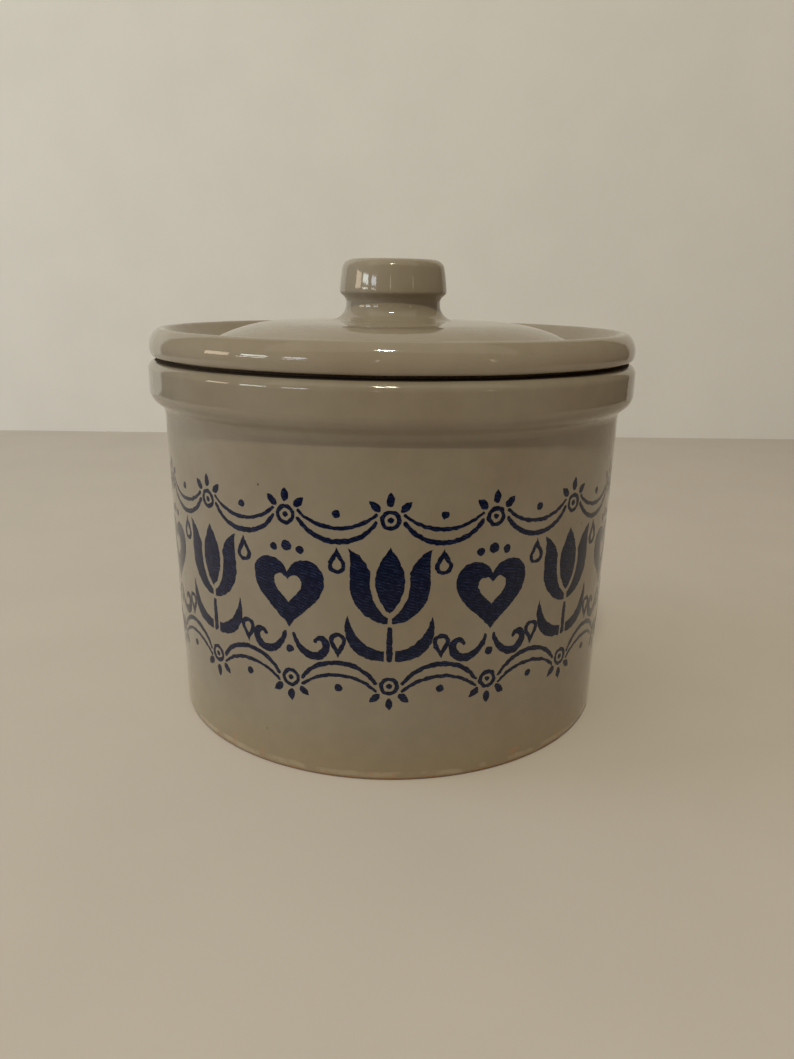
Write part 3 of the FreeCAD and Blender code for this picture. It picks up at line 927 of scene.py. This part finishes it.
def make_glaze(name, light, bare_line):
    """Putty-grey glaze, light times its plain colour, over clay that is bare under a height.

    Where the lid rests on the rim, the glaze is wiped off both in a ring, whose bare clay is
    darkened as painted shade for the gap between lid and rim.
    """
    jar = bpy.context.scene.snack_jar
    glaze = jar.glaze
    material, nodes, shader, place = new_material(name)
    x, y, height = nodes.parts(place)
    radius = nodes.add("ShaderNodeVectorMath", {"Vector": nodes.vector(x, y, 0.0)},
                       operation="LENGTH")["Value"]
    body, body_thin = shaded(glaze.body, light), shaded(glaze.body_thin, light)

    # the glaze itself: its clouds, its warmth near the foot, its grain and its mottle
    cloud = nodes.clouds(place, size=0.03, low=0.35, high=0.7, detail=4.0)
    waving = nodes.times(nodes.noise(place, size=0.02, detail=3.0), WARM_WANDER)
    warmth = nodes.ramp(nodes.plus(height, waving), *WARM_FADE, to_low=0.9, to_high=0.0)
    grain = nodes.clouds(place, size=0.0009, low=0.62, high=0.8, most=0.22)
    mottle = nodes.clouds(place, size=0.0045, low=0.35, high=0.68, most=0.10)

    # specks
    cells = nodes.add("ShaderNodeTexVoronoi",
                      {"Vector": place, "Scale": SPECK_CELLS_PER_METRE})
    chance = nodes.add("ShaderNodeSeparateColor", {"Color": cells["Color"]})["Red"]
    spot = nodes.ramp(cells["Distance"], low=0.018, high=0.036, to_low=1.0, to_high=0.0)
    chosen = nodes.math("GREATER_THAN", chance, SPECKLESS_CELLS)
    speck = nodes.times(nodes.times(spot, chosen), 0.8)

    # the foot: a ridge of glaze over the line, rusty spots and the bare clay under it
    edge = nodes.times(nodes.noise(place, size=0.007, detail=4.0), FOOT_WANDER)
    above = nodes.math("SUBTRACT", height, nodes.plus(edge, bare_line - FOOT_WANDER / 2))
    outside = nodes.ramp(radius, *(foot_radius(jar.crock) - inwards for inwards in OUTSIDE_FADE))
    gathered = nodes.times(outside, nodes.between(above, low=0.0005, high=0.0013, blur=0.0005))
    patchy = nodes.clouds(place, size=0.006, low=0.42, high=0.58, most=0.9, detail=4.0)
    low_zone = nodes.times(outside, nodes.between(above, low=0.0, high=0.0030, blur=0.0010))
    rusty = nodes.clouds(place, size=0.0032, low=0.60, high=0.68, most=0.55)
    bare = nodes.ramp(above, low=-0.0003, high=0.0001, to_low=1.0, to_high=0.0)
    grog = nodes.clouds(place, size=0.0006, low=0.4, high=0.7, detail=3.0)

    # the seat of the lid: bare clay, darkened as painted shade where the gap between lid and rim
    # lies in shadow
    inner, outer = (side + SEAT_WANDER / 2 for side in seat_ring(jar.crock))
    wander = nodes.times(nodes.noise(place, size=0.004, detail=3.0), SEAT_WANDER)
    wandering = nodes.plus(radius, nodes.math("SUBTRACT", wander, SEAT_WANDER / 2))
    rim = crock_high.z
    seat_clay_and_shade = nodes.times(nodes.between(wandering, inner, outer, blur=0.0002),
                       nodes.between(height, rim - 0.0004, rim + 0.0013, blur=0.0001))

    now = body
    for mask, tone in (
        (cloud, body_thin),
        (warmth, glaze.foot),
        (grain, body_thin),
        (mottle, shaded(body_thin, 0.6)),
        (speck, glaze.speck),
        (nodes.times(gathered, patchy), glaze.ridge),
        (nodes.times(low_zone, rusty), glaze.clay),
        (bare, nodes.blend(grog, glaze.clay, shaded(glaze.clay, 0.7))),
        # the seat's ring: bare clay, with painted shade for the gap
        (seat_clay_and_shade, nodes.blend(grog, glaze.seat_clay_and_shade, shaded(glaze.seat_clay_and_shade, 0.6))),
    ):
        now = nodes.blend(mask, now, tone)
    nodes.feed(shader["Base Color"], now)
    glaze_surface(nodes, shader, place, nodes.math("MAXIMUM", bare, seat_clay_and_shade))
    return material


def make_cobalt():
    """Dark cobalt print with brushy streaks, under the same glaze."""
    glaze = bpy.context.scene.snack_jar.glaze
    material, nodes, shader, place = new_material("cobalt_print")
    motif = nodes.add("ShaderNodeAttribute", attribute_name="print_map")["Vector"]
    turned = nodes.add("ShaderNodeMapping", {"Vector": motif, "Rotation": (0, 0, 0.25)})[0]
    streaks = nodes.add("ShaderNodeTexWave", {
        "Vector": turned, "Scale": 420.0, "Distortion": 6.0, "Detail": 3.0, "Detail Scale": 1.6,
    }, bands_direction="Y")[0]
    patches = nodes.clouds(motif, size=0.0016, low=0.35, high=0.7, detail=3.0)
    thin = nodes.times(nodes.ramp(streaks, low=0.35, high=0.95), patches)
    nodes.feed(shader["Base Color"], nodes.blend(thin, glaze.cobalt, glaze.cobalt_pale))
    shader["Specular IOR Level"].default_value = 0.3
    glaze_surface(nodes, shader, place)
    return material


def make_plain(name, paint):
    """A matt paper or cloth for the stage."""
    material, nodes, shader, place = new_material(name)
    weave = nodes.clouds(place, size=0.05, low=0.3, high=0.7, detail=4.0)
    nodes.feed(shader["Base Color"], nodes.blend(weave, paint, shaded(paint, 0.97)))
    shader["Roughness"].default_value = 0.9
    shader["Specular IOR Level"].default_value = 0.2
    return material


def make_shaded_floor(paint):
    """The floor as the glaze mirrors it, in the camera's shade towards the front."""
    material, nodes, shader, place = new_material("floor_in_shade")
    _, towards_back, _ = nodes.parts(place)
    lit = nodes.ramp(towards_back, low=-0.26, high=-0.07)
    nodes.feed(shader["Base Color"], nodes.blend(lit, shaded(paint, 0.06), paint))
    shader["Roughness"].default_value = 0.9
    return material


# Stage

# the rays that don't meet a panel which is there only for the glaze to mirror
ONLY_MIRRORED = "camera", "diffuse", "shadow"
FLAG_PAINT = 0.12, 0.10, 0.08
LIGHT_DISTANCE = 1.5

# what glows round the jar: azimuth, elevation, distance, width, height, brightness and tint
GLOWING = {
    "window_near_pane": (62.5, 13.4, LIGHT_DISTANCE, 0.34, 0.125, 10.5, (0.92, 1.0, 0.97)),
    "window_near_sill": (62.5, 7.4, LIGHT_DISTANCE, 0.34, 0.042, 10.5, (1.0, 1.0, 0.92)),
    "window_far_pane": (42, 13.4, LIGHT_DISTANCE, 0.27, 0.125, 8.2, (0.86, 0.90, 1.0)),
    "window_far_sill": (42, 7.4, LIGHT_DISTANCE, 0.27, 0.042, 6.5, (0.95, 0.93, 0.95)),
    "curtain": (81, 11.6, 0.85, 0.21, 0.125, 5.4, (1.0, 0.80, 0.58)),
    "strip_front": (6, 12.2, LIGHT_DISTANCE, 0.035, 0.25, 3.0, (1.0, 0.95, 0.82)),
    "strip_right": (-43, 12.2, LIGHT_DISTANCE, 0.06, 0.22, 1.9, (1.0, 0.88, 0.66)),
}


def level(left, right, front, back, height):
    """The corners of a level panel."""
    return [(left, front, height), (right, front, height), (right, back, height),
            (left, back, height)]


def upright(first, last, low, high):
    """The corners of an upright panel over the line between two points of the floor."""
    return [(*first, low), (*last, low), (*last, high), (*first, high)]


def add_panel(name, corners, material, *hidden_from):
    """A flat panel of the stage, hidden from some kinds of ray."""
    mesh = bpy.data.meshes.new(name)
    mesh.from_pydata(corners, [], [tuple(range(len(corners)))])
    mesh.materials.append(material)
    panel = new_object(name, mesh)
    for ray in hidden_from:
        setattr(panel, f"visible_{ray}", False)


def add_surroundings(stage):
    """The floor and the backdrop, as they are seen and as they are mirrored, and dark flags."""
    floor = make_plain("floor_cloth", stage.floor)
    wall = make_plain("backdrop_paint", stage.wall)
    dark = make_plain("flag_cloth", FLAG_PAINT)
    far, wide, below, high = stage.wall_distance, 2.5, -0.2, 2.0
    add_panel("floor", level(-wide, wide, -wide, far, 0), floor, "glossy")
    reach, lifted = 0.55, 0.0003
    add_panel("floor_mirrored", level(-reach, reach, -wide, far, lifted),
              make_shaded_floor(stage.floor), *ONLY_MIRRORED)
    add_panel("backdrop", upright((-wide, far), (wide, far), below, high), wall, "glossy")
    left, right, near = -0.66, 0.5, far - 0.004
    add_panel("backdrop_mirrored", upright((left, near), (right, near), below, high), wall,
              *ONLY_MIRRORED)
    front_left, front_right = (-3, -1.6), (3, -1.6)
    for name, first, last in (
        ("flag_front", front_left, front_right),
        ("flag_left", front_left, (left, far)),
        ("flag_right", front_right, (right, far)),
    ):
        corners = upright(first, last, low=-1, high=high)
        add_panel(name, corners, dark, *ONLY_MIRRORED, "transmission")


def add_light(name, azimuth, elevation, distance, width, height, power, tint, shape="RECTANGLE"):
    """An area light that faces the jar. Azimuth 0 is the front, and grows to the left."""
    aim = Vector((0, 0, crock_high.z))
    around, above = math.radians(azimuth), math.radians(elevation)
    away = Vector((-math.sin(around) * math.cos(above), -math.cos(around) * math.cos(above),
                   math.sin(above)))
    lamp = bpy.data.lights.new(name, "AREA")
    lamp.shape = shape
    lamp.size = width
    lamp.size_y = height
    lamp.energy = power
    lamp.color = tint
    light = new_object(name, lamp)
    light.location = aim + away * distance
    light.rotation_euler = away.to_track_quat("Z", "Y").to_euler()
    return light


def add_lights():
    """The windows, the curtain and the lit strips, a lamp over the jar, and soft daylight."""
    for name, (*place, width, height, brightness, tint) in GLOWING.items():
        # an area light's power is pi times its brightness and its area
        power = brightness * width * height * math.pi
        add_light(name, *place, width, height, power, tint)
    add_light("lamp", 4, 56, LIGHT_DISTANCE, width=0.2, height=0.045, power=8.8,
              tint=(1.0, 0.98, 0.74), shape="ELLIPSE")
    daylight = add_light("daylight", 92, 10, LIGHT_DISTANCE, width=0.8, height=0.8, power=9.0,
                         tint=(0.60, 0.80, 1.0))
    daylight.visible_glossy = False


def make_world(stage):
    """The room's light, which is seen directly, mirrored or through glass as a pale wall."""
    world = bpy.data.worlds.new("room")
    world.use_nodes = True
    nodes = Nodes(world.node_tree)
    rays = nodes.add("ShaderNodeLightPath")
    seen = nodes.plus(rays["Is Camera Ray"], rays["Is Glossy Ray"])
    seen = nodes.math("MINIMUM", nodes.plus(seen, rays["Is Transmission Ray"]), 1.0)
    shown = nodes.blend(seen, shaded(stage.room, stage.room_strength), stage.horizon)
    nodes.feed(nodes.tree.nodes["Background"].inputs["Color"], shown)
    bpy.context.scene.world = world


def make_camera(stage):
    camera = bpy.data.cameras.new("camera")
    camera.sensor_width = 36
    camera.lens = stage.lens
    camera.clip_start = 0.01
    camera.clip_end = 20
    view = new_object("camera", camera)
    place = Matrix.Translation((0, -stage.camera_distance, stage.camera_height))
    turn = Matrix.Rotation(-stage.camera_turn, 4, "Z")
    tilt = Matrix.Rotation(math.radians(90) - stage.camera_pitch, 4, "X")
    roll = Matrix.Rotation(stage.camera_roll, 4, "Z")
    view.matrix_world = place @ turn @ tilt @ roll
    bpy.context.scene.camera = view


# Operators

def finish_piece(piece, body):
    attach(piece, body)


class JAR_OT_crock(bpy.types.Operator):
    """Turn the glazed crock"""

    bl_idname = "jar.crock"
    bl_label = "Crock"

    def execute(self, context):
        jar = context.scene.snack_jar
        material = make_glaze("crock_glaze", light=1.0, bare_line=jar.glaze.glaze_line)
        piece = turned_piece("crock_glazed", crock_section(jar.crock), material,
                             seed=3.0, calm_below=0.001)
        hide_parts("crock")
        finish_piece(piece, "crock")
        return {"FINISHED"}


class JAR_OT_lid(bpy.types.Operator):
    """Turn the glazed lid with its knob"""

    bl_idname = "jar.lid"
    bl_label = "Lid"

    def execute(self, context):
        jar = context.scene.snack_jar
        bare_line = lid_low.z + jar.glaze.glaze_line
        # the lid's glaze is painted lighter than the crock's, as painted light
        material = make_glaze("lid_glaze", jar.glaze.lid_painted_lightness, bare_line)
        piece = turned_piece("lid_glazed", lid_section(jar.lid), material,
                             seed=8.0, calm_below=0.0)
        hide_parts("lid")
        finish_piece(piece, "lid")
        return {"FINISHED"}


class JAR_OT_border(bpy.types.Operator):
    """Print the border of tulips, hearts and garlands round the crock"""

    bl_idname = "jar.border"
    bl_label = "Border"

    def execute(self, context):
        jar = context.scene.snack_jar
        border = jar.border
        material = make_cobalt()
        pitch = FULL_TURN * wall_radius(jar.crock) / border.repeats / 2 / MM
        swag = garland(pitch)
        swags = swag + reshaped(swag, lambda loop: [Vector((p.x + pitch, p.y)) for p in loop])
        upturned = reshaped(swags, lambda loop: [Vector((p.x, -p.y)) for p in reversed(loop)])
        row = border.row_height
        for name, shapes, start, height in (
            ("tulips", tulip(), 0.0, row),
            ("hearts", heart(), 0.5, row),
            ("upper_garland", swags, 0.0, row + border.garland_height),
            ("lower_garland", upturned, 0.0, row - border.garland_height),
        ):
            piece = printed_piece(name, shapes, start, height, material)
            finish_piece(piece, "crock")
        return {"FINISHED"}


class JAR_OT_stage(bpy.types.Operator):
    """Set up the pale floor and backdrop, the light and the camera"""

    bl_idname = "jar.stage"
    bl_label = "Stage"

    def execute(self, context):
        stage = context.scene.snack_jar.stage
        context.scene.view_settings.view_transform = "Standard"
        add_surroundings(stage)
        add_lights()
        make_world(stage)
        make_camera(stage)
        return {"FINISHED"}


class JAR_PT_panel(bpy.types.Panel):
    """Settings and builders of the snack jar"""

    bl_idname = "JAR_PT_panel"
    bl_label = "Snack Jar"
    bl_space_type = "VIEW_3D"
    bl_region_type = "UI"
    bl_category = "Snack Jar"

    def draw(self, context):
        jar = context.scene.snack_jar
        for operator, group in (
            ("jar.crock", jar.crock),
            ("jar.lid", jar.lid),
            ("jar.border", jar.border),
            ("jar.stage", jar.stage),
        ):
            box = self.layout.box()
            box.operator(operator)
            for name in group.__annotations__:
                box.prop(group, name)
        for name in jar.glaze.__annotations__:
            self.layout.prop(jar.glaze, name)


CLASSES = (
    CrockSizes, LidSizes, BorderSizes, Glaze, Stage, JarSettings,
    JAR_OT_crock, JAR_OT_lid, JAR_OT_border, JAR_OT_stage, JAR_PT_panel,
)


def register():
    for item in CLASSES:
        bpy.utils.register_class(item)
    bpy.types.Scene.snack_jar = PointerProperty(type=JarSettings)


def unregister():
    del bpy.types.Scene.snack_jar
    for item in reversed(CLASSES):
        bpy.utils.unregister_class(item)


def main():
    register()
    bpy.ops.jar.crock()
    bpy.ops.jar.lid()
    bpy.ops.jar.border()
    bpy.ops.jar.stage()


if __name__ == "__main__":
    main()
